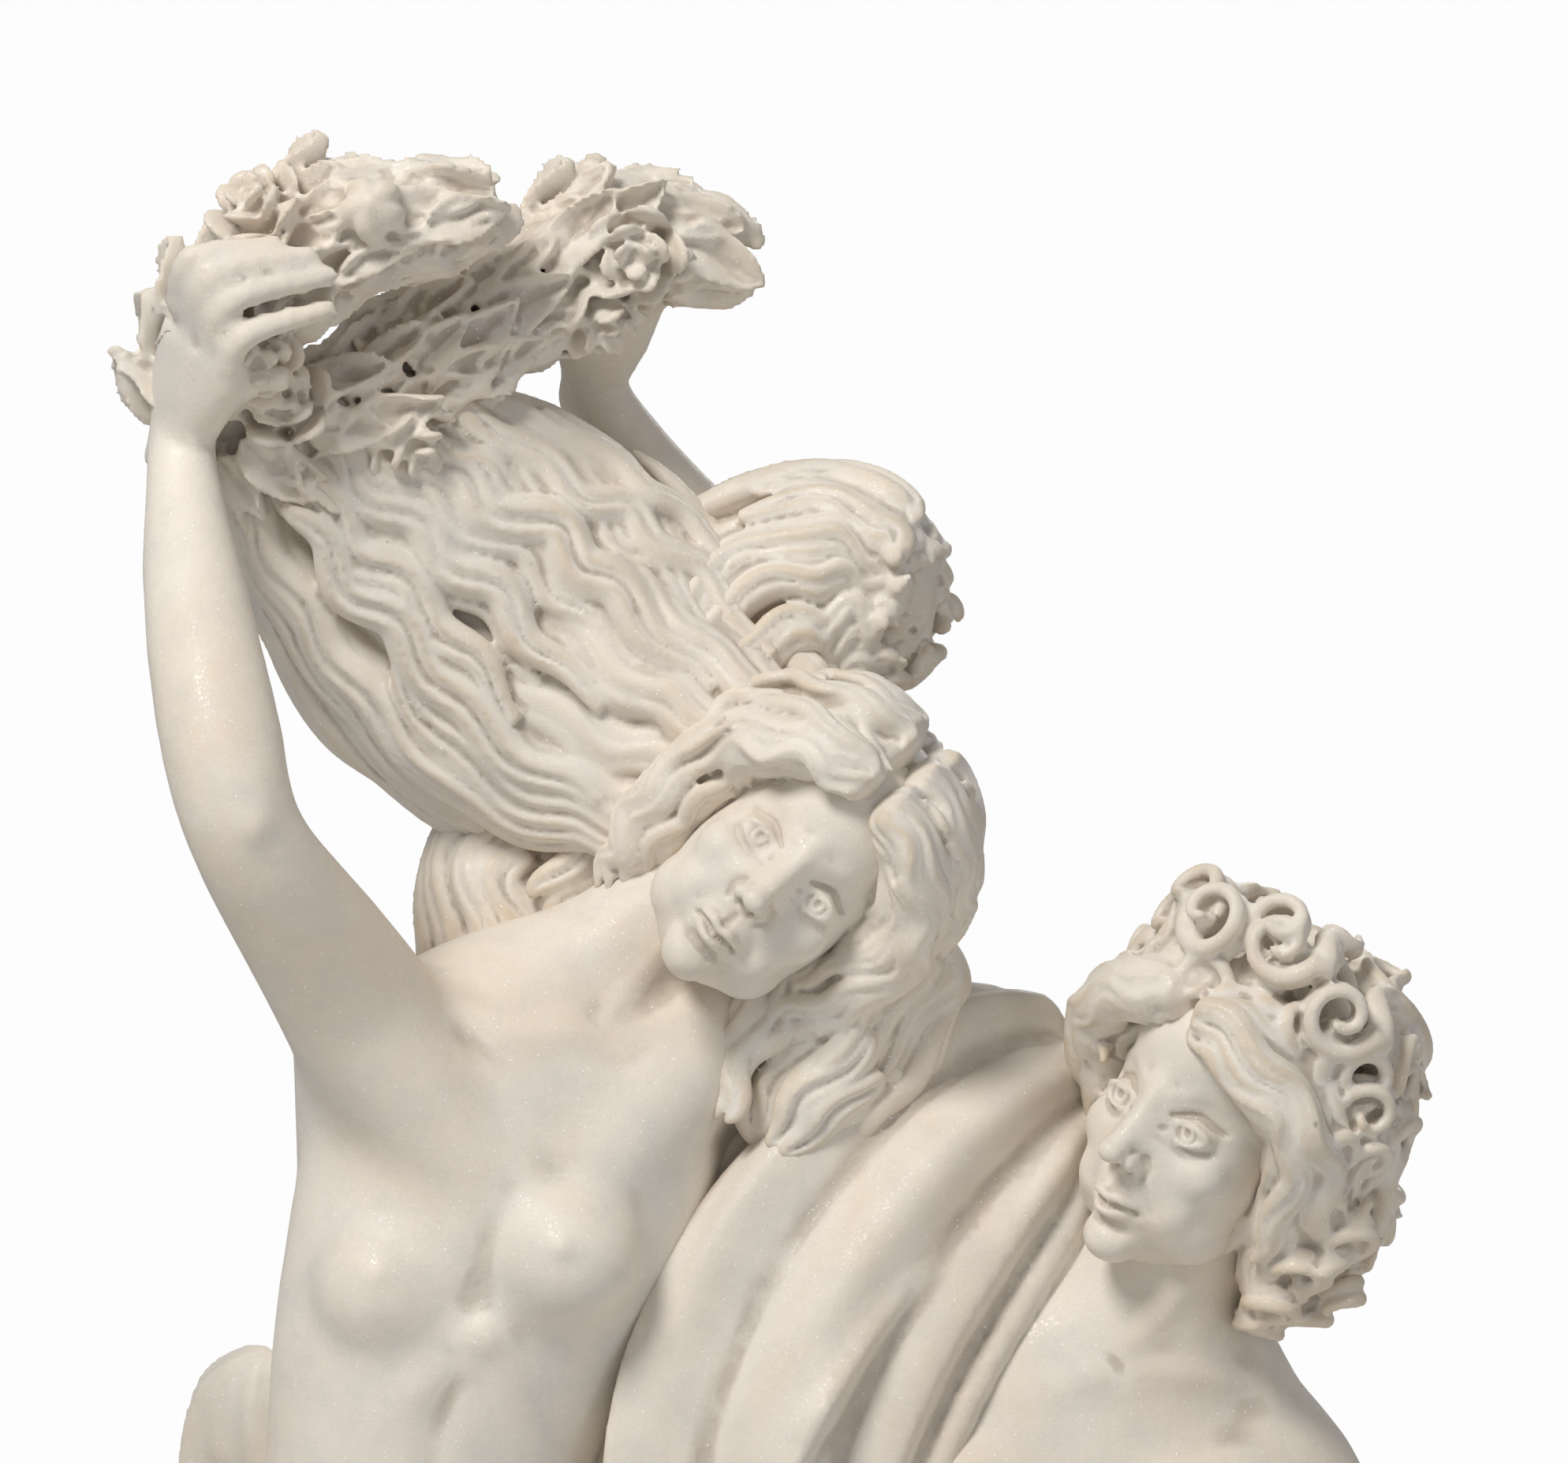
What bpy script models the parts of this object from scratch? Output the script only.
"""A marble group carved in one block: a nymph lifts a garland, and a youth leans on a rock beside her.

Metres, +Z up, and the group is seen from -Y. The origin is the centre of the block's underside.
Both figures and the rock are free forms. Their points and radii are written in heads, the old
sculptor's unit: one head is the nymph's face and skull from chin to crown, measured up from the ground.
"""

import math

import bmesh
import bpy
import numpy as np
from mathutils import Euler, Matrix, Vector

# Driving dimensions, in metres
FIGURES_HEIGHT = 0.931
HEAD = FIGURES_HEIGHT / 9.5
YOUTH_HEAD = 0.101
BASE_LENGTH = 0.44
BASE_DEPTH = 0.30
BASE_HEIGHT = 0.062
BASE_CORNER = 0.075
BASE_CHAMFER = 0.010
LEAF_LENGTH = 0.032
LEAF_WIDTH = 0.017
LEAF_THICKNESS = 0.0075
ROSE_RADIUS = 0.0135
CURL_RADIUS = 0.0105
LOCK_WIDTH = 0.0155

# How finely the block is cut: the grids that melt the forms together, and the facets that are left
BODY_GRID = 0.0040
CUT_GRID = 0.0030
FLESH_SMOOTHING = 14
CLOTH_SMOOTHING = 2
LAST_SMOOTHING = 2
FACETS = 9400

MARBLE_COLOUR = (0.80, 0.77, 0.72, 1.0)
MARBLE_ROUGHNESS = 0.42

ROUND = 2 * math.pi
GOLDEN_TURN = ROUND * 0.381966
YOUTH = YOUTH_HEAD / HEAD


def clear_scene():
    for obj in list(bpy.data.objects):
        bpy.data.objects.remove(obj)


def marble():
    material = bpy.data.materials.new("white_marble")
    material.use_nodes = True
    shader = material.node_tree.nodes["Principled BSDF"]
    shader.inputs["Base Color"].default_value = MARBLE_COLOUR
    shader.inputs["Roughness"].default_value = MARBLE_ROUGHNESS
    shader.inputs["Metallic"].default_value = 0.0
    return material


# Forms of clay: tubes and balls that are added to one mesh and overlap, in heads


def spline(rows, steps):
    """Rows of numbers, with steps rows for each gap on a smooth curve through all of them."""
    rows = np.array(rows, float)
    padded = np.vstack([2 * rows[0] - rows[1], rows, 2 * rows[-1] - rows[-2]])
    fine = []
    for before, start, end, after in zip(padded, padded[1:], padded[2:], padded[3:]):
        for step in range(steps):
            t = step / steps
            fine.append(
                start
                + 0.5 * t * (end - before)
                + 0.5 * t**2 * (2 * before - 5 * start + 4 * end - after)
                + 0.5 * t**3 * (3 * start - before - 3 * end + after)
            )
    fine.append(rows[-1])
    return np.array(fine)


def unit(vectors):
    return vectors / np.linalg.norm(vectors, axis=-1, keepdims=True)


def directions(centres, side):
    """For each point of a path: the way across it, nearest to side, and the way out to its front."""
    along = unit(np.gradient(centres, axis=0))
    side = np.broadcast_to(np.array(side, float), centres.shape)
    across = unit(side - along * np.sum(side * along, axis=1, keepdims=True))
    return across, np.cross(along, across)


def tube(bm, rows, side=(1, 0, 0), steps=4, sides=14, pleats=None):
    """A closed tube through rows of x, y, z, half width and half depth, the width along side."""
    rows = spline(rows, steps)
    centres = rows[:, :3]
    if len(np.shape(side)) == 2:
        side = spline(side, steps)
    across, front = directions(centres, side)
    rings = []
    for i, row in enumerate(rows):
        ring = []
        for k in range(sides):
            angle = ROUND * k / sides
            swell = pleats(angle, i / (len(rows) - 1)) if pleats else 1.0
            out = max(row[3], 0.01) * math.cos(angle) * across[i]
            out = out + max(row[4], 0.01) * math.sin(angle) * front[i]
            ring.append(bm.verts.new(centres[i] + swell * out))
        rings.append(ring)
    for low, high in zip(rings, rings[1:]):
        for k in range(sides):
            after = (k + 1) % sides
            bm.faces.new((low[k], low[after], high[after], high[k]))
    bm.faces.new(rings[0][::-1])
    bm.faces.new(rings[-1])


def ball(bm, centre, radii, turn=(0, 0, 0), detail=3):
    """An egg of three radii, turned by degrees about X, Y and Z."""
    turned = Euler([math.radians(a) for a in turn]).to_matrix().to_4x4()
    matrix = Matrix.Translation(Vector(centre)) @ turned @ Matrix.Diagonal((*radii, 1.0))
    bmesh.ops.create_icosphere(bm, subdivisions=detail, radius=1.0, matrix=matrix)


def round_tube(bm, points, radii, steps=4, sides=12):
    rows = [(*point, radius, radius) for point, radius in zip(points, radii)]
    heading = np.array(points[-1], float) - np.array(points[0], float)
    side = (1, 0, 0) if abs(heading[0]) < 0.8 * np.linalg.norm(heading) else (0, 0, 1)
    tube(bm, rows, side=side, steps=steps, sides=sides)


def ridges(count, depth, sway=0.0, waves=0.0, drift=0.0, rise=0.0):
    """Round crests and sharp valleys round a tube, for locks of hair and for folds of cloth.

    Their lines wave to and fro by sway, wander by drift, and the crests grow by rise to the tube's end.
    """
    def swell(angle, share):
        line = angle + sway * math.sin(ROUND * waves * share) + drift * math.sin(2.6 * share + angle)
        crest = 2 * abs(math.sin(0.5 * count * line)) - 1
        uneven = 0.75 + 0.25 * math.sin(2 * angle + 1) + rise * share
        return 1 + depth * uneven * crest
    return swell


# The nymph


NYMPH_HEAD_AT = (-0.18, -0.16, 7.29)
NYMPH_HEAD_TURN = (6, 50, 2)
NYMPH_SPINE = [
    (-1.24, 0.12, 3.95, 0.58, 0.44),
    (-1.26, 0.12, 4.35, 0.76, 0.52),
    (-1.30, 0.07, 4.80, 0.66, 0.43),
    (-1.32, 0.01, 5.30, 0.50, 0.36),
    (-1.24, -0.02, 5.75, 0.55, 0.39),
    (-1.10, -0.02, 6.20, 0.62, 0.42),
    (-0.98, 0.00, 6.58, 0.62, 0.36),
    (-0.84, 0.02, 6.84, 0.42, 0.27),
    (-0.72, 0.02, 7.00, 0.23, 0.22),
    (-0.54, 0.00, 7.16, 0.20, 0.20),
    (-0.30, -0.06, 7.34, 0.21, 0.21),
]
NYMPH_RIGHT_ARM = [
    (-1.12, -0.02, 6.30, 0.28),
    (-1.36, -0.14, 6.62, 0.27),
    (-1.58, -0.48, 7.00, 0.225),
    (-1.79, -0.82, 7.36, 0.180),
    (-1.87, -0.80, 7.66, 0.190),
    (-1.96, -0.60, 8.08, 0.165),
    (-2.01, -0.42, 8.42, 0.120),
    (-2.02, -0.36, 8.60, 0.112),
]
NYMPH_LEFT_ARM = [
    (-0.80, 0.04, 6.45, 0.28),
    (-0.40, 0.16, 6.80, 0.26),
    (-0.16, 0.38, 7.26, 0.215),
    (-0.02, 0.60, 7.72, 0.175),
    (-0.22, 0.60, 8.02, 0.185),
    (-0.54, 0.52, 8.34, 0.158),
    (-0.78, 0.42, 8.68, 0.114),
    (-0.82, 0.40, 8.80, 0.110),
]
# Sheets of muscle from the chest and the back to the raised arms, and from the neck to the shoulders
NYMPH_MUSCLES = (
    ((-1.02, -0.26, 6.20), (-1.26, -0.28, 6.50), (-1.52, -0.40, 6.84), 0.20),
    ((-0.88, -0.22, 6.28), (-0.62, -0.10, 6.55), (-0.36, 0.12, 6.90), 0.20),
    ((-1.44, 0.14, 5.85), (-1.50, 0.12, 6.32), (-1.52, -0.20, 6.78), 0.20),
    ((-0.74, 0.20, 5.95), (-0.50, 0.24, 6.40), (-0.30, 0.32, 6.88), 0.20),
    ((-0.60, 0.10, 7.10), (-0.94, 0.12, 6.94), (-1.28, 0.02, 6.84), 0.17),
)
SKIRT = [
    (-1.30, 0.08, 4.98, 0.58, 0.42),
    (-1.27, 0.10, 4.45, 0.84, 0.60),
    (-1.22, 0.05, 3.70, 0.86, 0.64),
    (-1.16, -0.05, 2.60, 0.84, 0.68),
    (-1.13, -0.06, 1.40, 0.88, 0.76),
    (-1.12, -0.04, 0.45, 0.98, 0.88),
    (-1.12, -0.04, -0.15, 1.02, 0.92),
]
SKIRT_PLEATS = 13
HIP_ROLL_AT = (-1.30, 0.08, 4.84)
HIP_ROLL_REACH = (0.64, 0.46)
SKIRT_BILLOW = [
    (-1.40, 0.40, 4.60, 0.36, 0.20),
    (-1.68, 0.34, 5.05, 0.36, 0.18),
    (-1.82, 0.20, 5.48, 0.28, 0.15),
    (-1.80, 0.08, 5.80, 0.14, 0.10),
]
STREAM_OF_HAIR = [
    (-0.22, 0.10, 7.42, 0.40, 0.36),
    (-0.62, 0.22, 7.68, 0.52, 0.34),
    (-1.02, 0.20, 7.96, 0.58, 0.30),
    (-1.34, 0.08, 8.26, 0.50, 0.24),
    (-1.60, -0.06, 8.54, 0.34, 0.17),
    (-1.74, -0.14, 8.74, 0.20, 0.12),
]
STREAM_SIDE = (0.66, 0.0, 0.75)
FLYING_HAIR = [
    (-0.58, 0.14, 7.62, 0.30, 0.26),
    (-0.44, 0.26, 7.88, 0.36, 0.28),
    (-0.20, 0.32, 8.04, 0.37, 0.24),
    (0.02, 0.32, 8.08, 0.32, 0.18),
    (0.16, 0.28, 8.06, 0.20, 0.12),
    (0.24, 0.24, 8.04, 0.08, 0.06),
]
FLYING_SIDE = (-0.40, 0.0, 0.90)
NAPE_HAIR = [
    (0.16, 0.02, 7.16, 0.26, 0.24),
    (-0.02, 0.02, 6.86, 0.27, 0.22),
    (-0.20, -0.02, 6.62, 0.21, 0.16),
    (-0.32, -0.06, 6.42, 0.11, 0.09),
]
NAPE_SIDE = (0.8, 0.0, -0.5)
BACK_HAIR = [
    (-0.46, 0.26, 7.60, 0.30, 0.24),
    (-0.78, 0.32, 7.44, 0.34, 0.24),
    (-0.98, 0.34, 7.20, 0.31, 0.22),
    (-1.00, 0.32, 6.96, 0.24, 0.18),
    (-0.92, 0.30, 6.76, 0.14, 0.12),
]
BACK_SIDE = (0.77, 0.0, -0.64)


def head_forms(bm, at, turn, size):
    """Skull, jaw, nose, brows, cheeks, eyes, lips and chin. The face looks along -Y before it is turned."""
    holder = bmesh.new()
    ball(holder, (0, 0.08, 0.14), (0.335, 0.41, 0.36))
    ball(holder, (0, -0.10, -0.10), (0.275, 0.29, 0.385))
    ball(holder, (0, -0.27, -0.40), (0.105, 0.10, 0.09))
    round_tube(holder, [(0, -0.36, 0.10), (0, -0.43, -0.02), (0, -0.480, -0.13)], (0.045, 0.05, 0.058))
    ball(holder, (0, -0.375, -0.240), (0.080, 0.055, 0.026))
    ball(holder, (0, -0.365, -0.300), (0.070, 0.055, 0.030))
    for way in (-1, 1):
        ball(holder, (0.13 * way, -0.305, 0.085), (0.10, 0.050, 0.030), (0, 8 * way, 24 * way))
        ball(holder, (0.135 * way, -0.290, -0.020), (0.066, 0.062, 0.046))
        ball(holder, (0.16 * way, -0.24, -0.14), (0.11, 0.10, 0.12))
        ball(holder, (0.052 * way, -0.39, -0.140), (0.034, 0.04, 0.034))
    turned = Euler([math.radians(a) for a in turn]).to_matrix().to_4x4()
    matrix = Matrix.Translation(Vector(at)) @ turned @ Matrix.Scale(size, 4)
    bmesh.ops.transform(holder, matrix=matrix, verts=holder.verts)
    made = bpy.data.meshes.new("head")
    holder.to_mesh(made)
    holder.free()
    bm.from_mesh(made)
    bpy.data.meshes.remove(made)


def arm(bm, rows):
    round_tube(bm, [row[:3] for row in rows], [row[3] for row in rows])


def hand(bm, wrist, knuckles, tips, spread, thumb, size=1.0):
    """A palm from wrist to knuckles, four fingers bent over towards the tips, and a thumb."""
    wrist, knuckles, tips = (np.array(p, float) for p in (wrist, knuckles, tips))
    spread = unit(np.array(spread, float))
    palm = [(*(wrist + t * (knuckles - wrist)), a * size, b * size) for t, a, b in (
        (0.0, 0.10, 0.085), (0.5, 0.15, 0.085), (1.0, 0.165, 0.065))]
    tube(bm, palm, side=spread)
    for n in range(4):
        aside = spread * (n - 1.5) * 0.088 * size
        start = knuckles + aside
        bend = start + 0.6 * (knuckles - wrist)
        end = tips + aside * 0.85
        round_tube(bm, [start, bend, end], [0.050 * size, 0.047 * size, 0.038 * size], sides=8)
    middle = 0.5 * (wrist + knuckles)
    round_tube(bm, [wrist, middle + 0.5 * (np.array(thumb) - middle), thumb],
               [0.06 * size, 0.058 * size, 0.042 * size], sides=8)


def foot(bm, ankle, toes, size=1.0):
    ankle, toes = np.array(ankle, float), np.array(toes, float)
    side = np.cross(toes - ankle, (0, 0, 1))
    heel = ankle - 0.28 * (toes - ankle) * np.array([1, 1, 0]) - np.array([0, 0, 0.16])
    ball(bm, heel, (0.13 * size, 0.13 * size, 0.12 * size))
    middle = 0.5 * (ankle + toes)
    tube(bm, [(*ankle, 0.12 * size, 0.13 * size), (*middle, 0.15 * size, 0.11 * size),
              (*toes, 0.150 * size, 0.075 * size)], side=unit(side))


def muscles(bm, sheets):
    for start, middle, end, radius in sheets:
        round_tube(bm, [start, middle, end], [radius, 1.05 * radius, 0.95 * radius])


def nymph_flesh(bm):
    tube(bm, NYMPH_SPINE, side=[(1, 0.16, 0)] * 5 + [(1, 0.08, 0.12)] * 6, sides=20)
    ball(bm, (-1.31, -0.18, 5.02), (0.36, 0.24, 0.42))
    for way in (-1, 1):
        ball(bm, (-1.14 + 0.27 * way, -0.33 - 0.02 * way, 6.06 + 0.05 * way), (0.235, 0.19, 0.225))
        ball(bm, (-1.26 + 0.30 * way, 0.38, 4.24), (0.34, 0.28, 0.34))
    muscles(bm, NYMPH_MUSCLES)
    arm(bm, NYMPH_RIGHT_ARM)
    arm(bm, NYMPH_LEFT_ARM)


def nymph_carving(bm):
    hand(bm, (-2.02, -0.36, 8.58), (-1.92, -0.34, 8.90), (-1.62, -0.50, 8.98), (0.4, 1, 0.1), (-1.66, -0.42, 8.78))
    hand(bm, (-0.81, 0.40, 8.76), (-0.72, 0.34, 9.06), (-0.45, 0.12, 9.04), (0.7, 0.9, -0.3), (-0.52, 0.16, 8.92))
    head_forms(bm, NYMPH_HEAD_AT, NYMPH_HEAD_TURN, 1.0)
    foot(bm, (-0.86, -0.80, 0.28), (-0.82, -1.10, 0.10))


def on_head(at, turn, size, direction, lift=1.0):
    """The point over the skull in this direction of the head's own axes, face to -Y."""
    turned = Euler([math.radians(a) for a in turn]).to_matrix()
    way = Vector(direction).normalized()
    spot = Vector((0.36 * way.x, 0.06 + 0.43 * way.y, 0.12 + 0.39 * way.z))
    return Vector(at) + size * lift * (turned @ spot)


def parted_locks(bm, at, turn, size, rows, radius):
    """Locks that leave a middle parting and sweep down and back over each side of the skull."""
    for way in (-1, 1):
        for row in range(rows):
            back = row / (rows - 1)
            rise = math.radians(48 + 85 * back)
            start = Vector((0.07 * way, -math.cos(rise), math.sin(rise)))
            side = Vector((1.1 * way, -0.55 + 1.2 * back, 0.25 + 0.3 * back))
            end = Vector((0.75 * way, 0.55 + 0.35 * back, -0.75))
            points = []
            for step in range(9):
                t = 0.04 + 0.92 * step / 8
                flow = (1 - t) ** 2 * start + 2 * t * (1 - t) * side + t * t * end
                sway = 0.06 * math.sin(ROUND * (3 * t + 0.2 * row))
                flow.z += sway
                points.append(on_head(at, turn, size, flow, 1.05))
            radii = [radius * math.sin(math.pi * (0.25 + 0.65 * step / 8)) for step in range(9)]
            round_tube(bm, points, radii, steps=2, sides=8)


def nymph_hair(bm):
    """A parted cap, the stream of hair to her raised hands, a flying fall, the nape, and hair on her back."""
    skull = on_head(NYMPH_HEAD_AT, NYMPH_HEAD_TURN, 1.0, (0, 0, 1), 0.45)
    ball(bm, skull + Vector((0.02, 0.10, 0.02)), (0.36, 0.42, 0.38), NYMPH_HEAD_TURN)
    parted_locks(bm, NYMPH_HEAD_AT, NYMPH_HEAD_TURN, 1.0, 7, 0.5 * LOCK_WIDTH / HEAD)
    for core, side, waves in (
        (STREAM_OF_HAIR, STREAM_SIDE, 5.5),
        (FLYING_HAIR, FLYING_SIDE, 3.0),
        (NAPE_HAIR, NAPE_SIDE, 2.5),
        (BACK_HAIR, BACK_SIDE, 3.0),
    ):
        girth = math.pi * max(a + b for x, y, z, a, b in core)
        locks = round(girth * HEAD / LOCK_WIDTH)
        tube(bm, core, side=side, steps=14, sides=8 * locks, pleats=ridges(locks, 0.19, 0.11, waves))


def skirt(bm):
    """Cloth wrapped low on the hips, falling in pleats, pushed out by the bent left leg."""
    tube(bm, SKIRT, side=(1, 0.1, 0), steps=6, sides=120,
         pleats=ridges(SKIRT_PLEATS, 0.10, 0.10, 1.2, drift=0.35, rise=0.7))
    round_tube(bm, [(-1.00, -0.20, 4.25), (-0.84, -0.52, 2.55), (-0.88, -0.50, 0.9)], [0.36, 0.33, 0.24])
    for phase, slant in ((0.0, 0.14), (1.6, -0.05)):
        roll = []
        for n in range(25):
            turn = ROUND * n / 24
            thick = 0.10 + 0.025 * math.sin(5 * turn + phase)
            roll.append((HIP_ROLL_AT[0] + HIP_ROLL_REACH[0] * math.cos(turn),
                         HIP_ROLL_AT[1] + HIP_ROLL_REACH[1] * math.sin(turn),
                         HIP_ROLL_AT[2] + slant * math.cos(turn + 2.4) + 0.05 * math.sin(3 * turn + phase),
                         thick, 1.2 * thick))
        tube(bm, roll, side=(0, 0, 1), steps=2, sides=10)
    tube(bm, SKIRT_BILLOW, side=(0.8, -0.6, 0), steps=6, sides=40, pleats=ridges(7, 0.20, drift=0.4))


# The garland that she holds up: a festoon from hand to hand with a flying end


GARLAND = [
    (-1.30, -0.40, 9.24),
    (-1.56, -0.40, 9.18),
    (-1.80, -0.38, 9.02),
    (-1.94, -0.30, 8.78),
    (-1.84, -0.20, 8.62),
    (-1.58, -0.14, 8.66),
    (-1.30, -0.04, 8.84),
    (-1.02, 0.04, 9.04),
    (-0.74, 0.10, 9.24),
    (-0.54, 0.12, 9.20),
]
GARLAND_STEM = 0.150
LEAVES_ROUND = 6
LEAF_RINGS = 14
ROSES = 9


def leaf(bm, root, heading, outward, length, width, thickness):
    """A pointed leaf that leans away from the festoon and bends back at its tip."""
    heading, outward = unit(heading), unit(outward)
    line = [root + heading * length * t + outward * length * (0.22 * t - 0.20 * t * t) for t in (0, 0.35, 0.7, 1.0)]
    shape = ((0.45, 1.0), (1.0, 1.0), (0.85, 1.0), (0.35, 0.8))
    rows = [(*p, 0.5 * width * w, 0.5 * thickness * h) for p, (w, h) in zip(line, shape)]
    tube(bm, rows, side=np.cross(heading, outward), steps=2, sides=8)


def garland(bm):
    path = spline(GARLAND, 6)
    round_tube(bm, GARLAND, [GARLAND_STEM * 0.6] + [GARLAND_STEM] * (len(GARLAND) - 2) + [GARLAND_STEM * 0.7])
    along = unit(np.gradient(path, axis=0))
    across, front = directions(path, (0.2, 0.3, 1.0))
    for ring in range(LEAF_RINGS):
        i = int(ring * (len(path) - 2) / (LEAF_RINGS - 1))
        for n in range(LEAVES_ROUND):
            angle = ROUND * n / LEAVES_ROUND + 0.9 * ring
            outward = math.cos(angle) * across[i] + math.sin(angle) * front[i]
            flow = -along[i] if ring < 0.4 * LEAF_RINGS else along[i]
            lean = 0.18 if 1 < ring < LEAF_RINGS - 2 else -0.30
            leaf(bm, path[i] + outward * GARLAND_STEM * 0.85, flow + lean * outward, outward,
                 LEAF_LENGTH / HEAD, LEAF_WIDTH / HEAD, LEAF_THICKNESS / HEAD)
    for n in range(ROSES):
        i = int((n + 0.5) * len(path) / ROSES)
        outward = unit(-0.8 * front[i] * math.cos(n) + across[i] * math.sin(2.3 * n) + np.array([0, -0.7, 0.2]))
        radius = ROSE_RADIUS / HEAD
        heart = path[i] + outward * (GARLAND_STEM + 0.5 * radius)
        ball(bm, heart, (0.8 * radius, 0.8 * radius, 0.8 * radius), detail=2)
        for petal in range(5):
            angle = ROUND * petal / 5
            aside = math.cos(angle) * across[i] + math.sin(angle) * np.cross(across[i], outward)
            ball(bm, heart + 0.55 * radius * unit(aside), (0.5 * radius, 0.5 * radius, 0.5 * radius), detail=2)


# The youth


YOUTH_HEAD_AT = (1.10, -0.10, 6.52)
YOUTH_HEAD_TURN = (-4, 24, -40)
YOUTH_SPINE = [
    (0.56, 0.46, 3.05, 0.55, 0.42),
    (0.56, 0.45, 3.45, 0.60, 0.44),
    (0.52, 0.38, 4.00, 0.56, 0.40),
    (0.54, 0.32, 4.55, 0.62, 0.43),
    (0.62, 0.28, 5.10, 0.80, 0.46),
    (0.70, 0.24, 5.48, 0.78, 0.40),
    (0.84, 0.18, 5.80, 0.48, 0.32),
    (0.94, 0.10, 6.02, 0.28, 0.27),
    (1.04, 0.00, 6.30, 0.26, 0.26),
]
YOUTH_LEFT_ARM = [
    (0.92, 0.26, 5.40, 0.34),
    (1.22, 0.28, 5.40, 0.31),
    (1.48, 0.26, 4.96, 0.245),
    (1.66, 0.16, 4.42, 0.190),
    (1.64, -0.06, 4.12, 0.205),
    (1.54, -0.34, 3.75, 0.165),
    (1.42, -0.60, 3.40, 0.120),
]
YOUTH_MUSCLES = (
    ((0.80, -0.04, 5.22), (1.04, -0.02, 5.30), (1.30, 0.14, 5.34), 0.20),
    ((0.56, -0.04, 5.20), (0.34, 0.00, 5.26), (0.10, 0.12, 5.36), 0.20),
    ((0.98, 0.14, 6.00), (1.14, 0.22, 5.74), (1.28, 0.28, 5.50), 0.17),
    ((1.16, 0.40, 4.55), (1.24, 0.42, 4.95), (1.30, 0.36, 5.25), 0.16),
    ((0.46, 0.02, 4.10), (0.46, -0.02, 4.50), (0.52, 0.00, 4.86), 0.14),
    ((0.66, 0.02, 4.10), (0.68, -0.02, 4.50), (0.72, 0.00, 4.86), 0.14),
)
YOUTH_LEGS = (
    [(0.78, 0.30, 3.34, 0.40), (1.04, -0.40, 3.00, 0.34), (1.18, -0.92, 2.60, 0.25), (1.23, -0.88, 2.30, 0.22),
     (1.25, -0.80, 1.90, 0.245), (1.26, -0.86, 1.15, 0.165), (1.26, -0.86, 0.34, 0.115)],
    [(0.34, 0.30, 3.34, 0.40), (0.10, -0.42, 3.28, 0.34), (-0.06, -0.86, 3.02, 0.25), (-0.03, -0.84, 2.76, 0.22),
     (0.00, -0.72, 2.42, 0.245), (0.08, -0.76, 1.80, 0.165), (0.12, -0.76, 1.28, 0.12)],
)
MANTLE = [
    (0.70, 0.36, 6.62, 0.24, 0.20),
    (0.42, 0.26, 6.50, 0.44, 0.30),
    (0.12, 0.16, 6.22, 0.54, 0.36),
    (-0.14, 0.12, 5.82, 0.58, 0.42),
    (-0.28, 0.14, 5.30, 0.56, 0.44),
    (-0.26, 0.20, 4.60, 0.50, 0.42),
    (-0.14, 0.28, 3.80, 0.48, 0.38),
    (-0.04, 0.34, 2.90, 0.44, 0.34),
    (0.00, 0.36, 2.20, 0.40, 0.32),
]
MANTLE_SIDE = (0.75, 0.0, -0.66)
LAP_CLOTH = [
    (0.56, 0.50, 3.42, 0.68, 0.40),
    (0.50, 0.10, 3.34, 0.76, 0.36),
    (0.46, -0.40, 3.16, 0.74, 0.32),
    (0.42, -0.82, 2.82, 0.60, 0.28),
    (0.42, -0.92, 2.30, 0.46, 0.20),
    (0.46, -0.88, 1.70, 0.38, 0.16),
    (0.52, -0.82, 1.25, 0.28, 0.12),
]


def youth_flesh(bm):
    tube(bm, YOUTH_SPINE, side=[(1, 0.0, 0)] * 4 + [(1, 0.05, -0.25)] * 5, sides=20)
    for way in (-1, 1):
        ball(bm, (0.68 + 0.33 * way, -0.04 + 0.02 * way, 5.24 - 0.08 * way), (0.36, 0.17, 0.26))
        ball(bm, (0.56 + 0.26 * way, 0.62, 3.36), (0.32, 0.28, 0.30))
    muscles(bm, YOUTH_MUSCLES)
    arm(bm, YOUTH_LEFT_ARM)
    for leg in YOUTH_LEGS:
        arm(bm, leg)


def youth_carving(bm):
    head_forms(bm, YOUTH_HEAD_AT, YOUTH_HEAD_TURN, YOUTH)
    hand(bm, (1.42, -0.60, 3.40), (1.28, -0.82, 3.16), (1.14, -1.08, 2.98), (0.9, -0.3, 0.1),
         (1.06, -0.78, 3.16), YOUTH)
    foot(bm, (1.26, -0.88, 0.28), (1.32, -1.26, 0.07), YOUTH)
    foot(bm, (0.12, -0.78, 1.20), (0.08, -1.14, 0.98), YOUTH)


def curls_on(bm, at, turn, size, count, radius):
    """Round curls set over the skull by a golden spiral, leaving the face free."""
    turned = Euler([math.radians(a) for a in turn]).to_matrix()
    for n in range(count):
        height = 1 - 1.5 * (n + 0.5) / count
        angle = GOLDEN_TURN * n
        level = math.sqrt(1 - height * height)
        way = Vector((level * math.cos(angle), level * math.sin(angle), height))
        in_face = way.y < -0.35 and way.z < 0.62
        if in_face:
            continue
        spot = Vector((0.40 * way.x, 0.06 + 0.45 * way.y, 0.10 + 0.42 * way.z))
        grown = radius * (1 + 0.22 * math.sin(2.7 * n))
        ball(bm, Vector(at) + size * (turned @ spot), (grown, grown, grown), detail=2)


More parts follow.
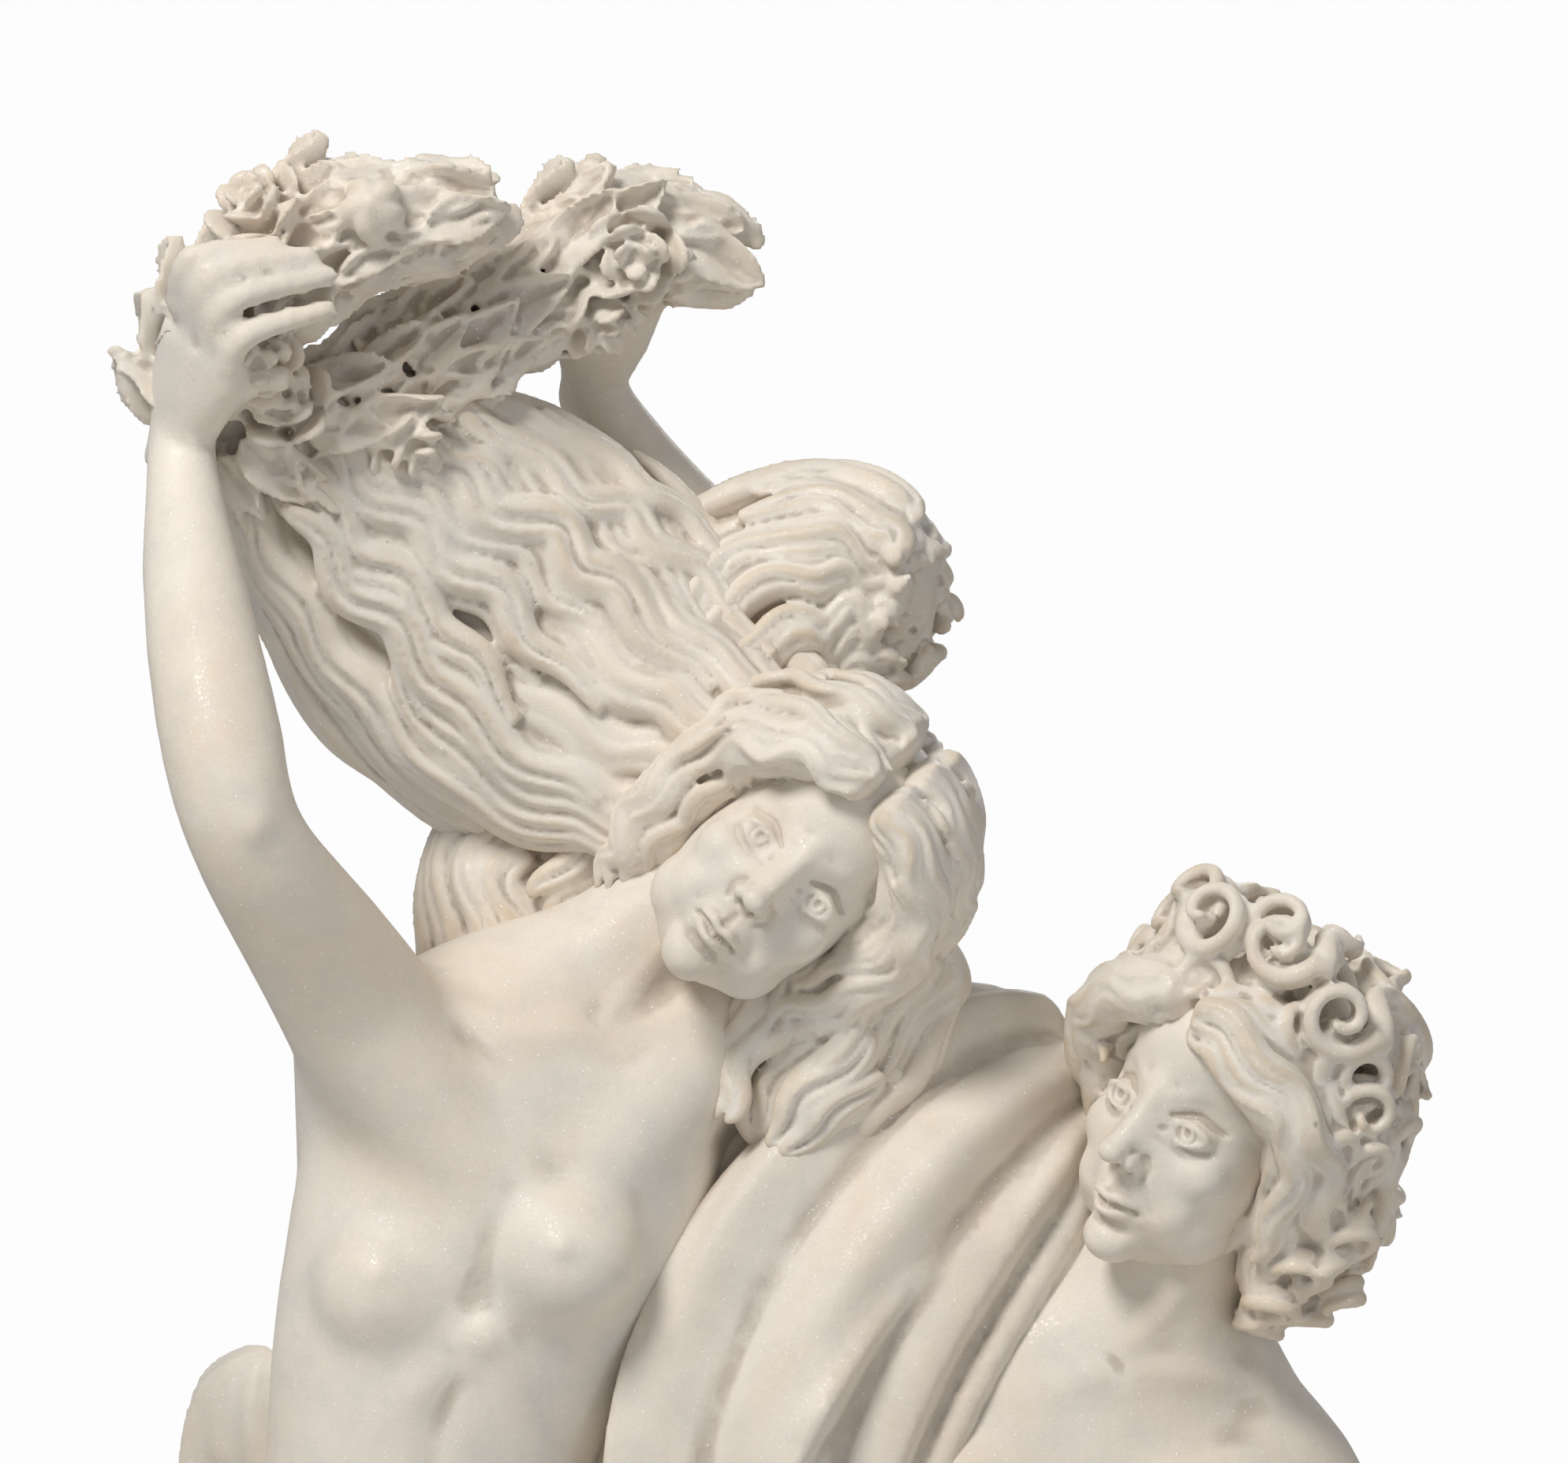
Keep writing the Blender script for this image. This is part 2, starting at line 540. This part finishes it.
def youth_hair(bm):
    turned = Euler([math.radians(a) for a in YOUTH_HEAD_TURN]).to_matrix()
    at = Vector(YOUTH_HEAD_AT)
    ball(bm, at + YOUTH * (turned @ Vector((0, 0.09, 0.14))), (0.40, 0.46, 0.41), YOUTH_HEAD_TURN)
    ball(bm, at + YOUTH * (turned @ Vector((0.30, 0.22, -0.22))), (0.16, 0.26, 0.22), YOUTH_HEAD_TURN)
    ball(bm, at + YOUTH * (turned @ Vector((-0.30, 0.22, -0.22))), (0.16, 0.26, 0.22), YOUTH_HEAD_TURN)
    ball(bm, at + YOUTH * (turned @ Vector((0.22, 0.52, -0.12))), (0.18, 0.16, 0.16), YOUTH_HEAD_TURN)
    curls_on(bm, YOUTH_HEAD_AT, YOUTH_HEAD_TURN, YOUTH, 62, CURL_RADIUS / HEAD)


def mantle(bm):
    """A mantle over the right shoulder and arm, its edge across the chest, its end over the lap."""
    tube(bm, MANTLE, side=MANTLE_SIDE, steps=8, sides=60, pleats=ridges(11, 0.17, 0.10, 0.8, drift=0.3))
    tube(bm, LAP_CLOTH, side=(1, 0, 0), steps=8, sides=60, pleats=ridges(11, 0.20, 0.12, 1.0, drift=0.4, rise=0.5))


# The rock that the youth leans on, and the ground that the block stands on


ROCK = [
    (0.58, 0.30, -0.10, 1.26, 0.98),
    (0.58, 0.34, 0.70, 1.12, 0.86),
    (0.60, 0.38, 1.60, 0.98, 0.74),
    (0.62, 0.42, 2.40, 0.88, 0.68),
    (0.62, 0.46, 3.10, 0.76, 0.58),
]
ROCK_LEDGE = [
    (0.22, -0.30, -0.10, 0.54, 0.74),
    (0.18, -0.52, 0.50, 0.44, 0.54),
    (0.14, -0.62, 0.98, 0.36, 0.42),
]
MOUNDS = (
    ((-1.05, -0.05, 0.0), (1.02, 1.24, 0.16)),
    ((0.85, -0.15, 0.0), (1.10, 1.18, 0.14)),
    ((-0.30, 0.30, 0.60), (0.62, 0.50, 1.10)),
    ((-0.24, 0.36, 2.10), (0.50, 0.38, 1.50)),
)


def rock_facets(angle, share):
    return 1 + 0.05 * math.sin(3 * angle + 7 * share) + 0.035 * math.sin(5 * angle - 11 * share)


def rock(bm):
    tube(bm, ROCK, sides=30, pleats=rock_facets)
    tube(bm, ROCK_LEDGE, sides=30, pleats=rock_facets)
    for centre, radii in MOUNDS:
        ball(bm, centre, radii)


def in_metres(forms):
    """The forms in one object, scaled from heads and set on the ground."""
    bm = bmesh.new()
    for form in forms:
        form(bm)
    bmesh.ops.transform(bm, matrix=Matrix.Translation((0, 0, BASE_HEIGHT)) @ Matrix.Scale(HEAD, 4), verts=bm.verts)
    bmesh.ops.recalc_face_normals(bm, faces=bm.faces)
    mesh = bpy.data.meshes.new("forms")
    bm.to_mesh(mesh)
    bm.free()
    return mesh


def base():
    """The low block under the ground, with rounded corners and a chamfered upper edge."""
    outline = []
    for corner in range(4):
        sign_x = 1 if corner in (0, 3) else -1
        sign_y = 1 if corner < 2 else -1
        for step in range(7):
            angle = 0.25 * ROUND * (corner + step / 6)
            outline.append((sign_x * (0.5 * BASE_LENGTH - BASE_CORNER) + BASE_CORNER * math.cos(angle),
                            sign_y * (0.5 * BASE_DEPTH - BASE_CORNER) + BASE_CORNER * math.sin(angle)))
    bm = bmesh.new()
    floor = bm.faces.new([bm.verts.new((x, y, 0)) for x, y in outline])
    grown = bmesh.ops.extrude_face_region(bm, geom=[floor])["geom"]
    top = [g for g in grown if isinstance(g, bmesh.types.BMFace)]
    bmesh.ops.translate(bm, verts=top[0].verts, vec=(0, 0, BASE_HEIGHT - BASE_CHAMFER))
    bmesh.ops.inset_region(bm, faces=top, thickness=BASE_CHAMFER, depth=0.0)
    bmesh.ops.translate(bm, verts=top[0].verts, vec=(0, 0, BASE_CHAMFER))
    bmesh.ops.recalc_face_normals(bm, faces=bm.faces)
    mesh = bpy.data.meshes.new("base")
    bm.to_mesh(mesh)
    bm.free()
    block = bpy.data.objects.new("base", mesh)
    bpy.context.scene.collection.objects.link(block)
    block.hide_render = True
    block.display_type = "WIRE"
    return block


def melted(meshes, grid, passes):
    """Overlapping closed meshes melted into one skin on a grid, and smoothed."""
    bm = bmesh.new()
    for mesh in meshes:
        bm.from_mesh(mesh)
        bpy.data.meshes.remove(mesh)
    joined = bpy.data.meshes.new("joined")
    bm.to_mesh(joined)
    bm.free()
    forms = bpy.data.objects.new("forms", joined)
    bpy.context.scene.collection.objects.link(forms)
    melt = forms.modifiers.new("Melt", "REMESH")
    melt.mode = "VOXEL"
    melt.voxel_size = grid
    smooth = forms.modifiers.new("Smooth", "SMOOTH")
    smooth.factor = 0.5
    smooth.iterations = round(passes)
    seen = forms.evaluated_get(bpy.context.evaluated_depsgraph_get())
    skin = bpy.data.meshes.new_from_object(seen)
    bpy.data.objects.remove(forms)
    return skin


def carved_block():
    """Flesh is smoothed most, cloth and rock less, and hair, leaves, hands and faces least."""
    flesh = melted([in_metres([nymph_flesh, youth_flesh])], BODY_GRID, FLESH_SMOOTHING)
    cloth = melted([in_metres([skirt, mantle, rock])], BODY_GRID, CLOTH_SMOOTHING)
    carving = in_metres([nymph_carving, nymph_hair, garland, youth_carving, youth_hair])
    return melted([flesh, cloth, carving], CUT_GRID, LAST_SMOOTHING)


def largest_island(mesh):
    """Keeps the outer skin and drops any crumb that the melting left inside or beside it."""
    bm = bmesh.new()
    bm.from_mesh(mesh)
    bm.verts.ensure_lookup_table()
    seen, islands = set(), []
    for vert in bm.verts:
        if vert.index in seen:
            continue
        seen.add(vert.index)
        island, edge_of = [], [vert]
        while edge_of:
            here = edge_of.pop()
            island.append(here)
            for edge in here.link_edges:
                other = edge.other_vert(here)
                if other.index not in seen:
                    seen.add(other.index)
                    edge_of.append(other)
        islands.append(island)
    islands.sort(key=len)
    crumbs = [vert for island in islands[:-1] for vert in island]
    bmesh.ops.delete(bm, geom=crumbs, context="VERTS")
    bm.to_mesh(mesh)
    bm.free()


def main():
    clear_scene()
    block = carved_block()
    largest_island(block)
    group = bpy.data.objects.new("marble_group", block)
    bpy.context.scene.collection.objects.link(group)
    block.materials.clear()
    block.materials.append(marble())
    facets = group.modifiers.new("Facets", "DECIMATE")
    facets.ratio = FACETS / (2 * len(block.polygons))
    joined = group.modifiers.new("Joined", "BOOLEAN")
    joined.operation = "UNION"
    joined.object = base()
    block.shade_smooth()
    block.set_sharp_from_angle(angle=math.radians(60))


main()
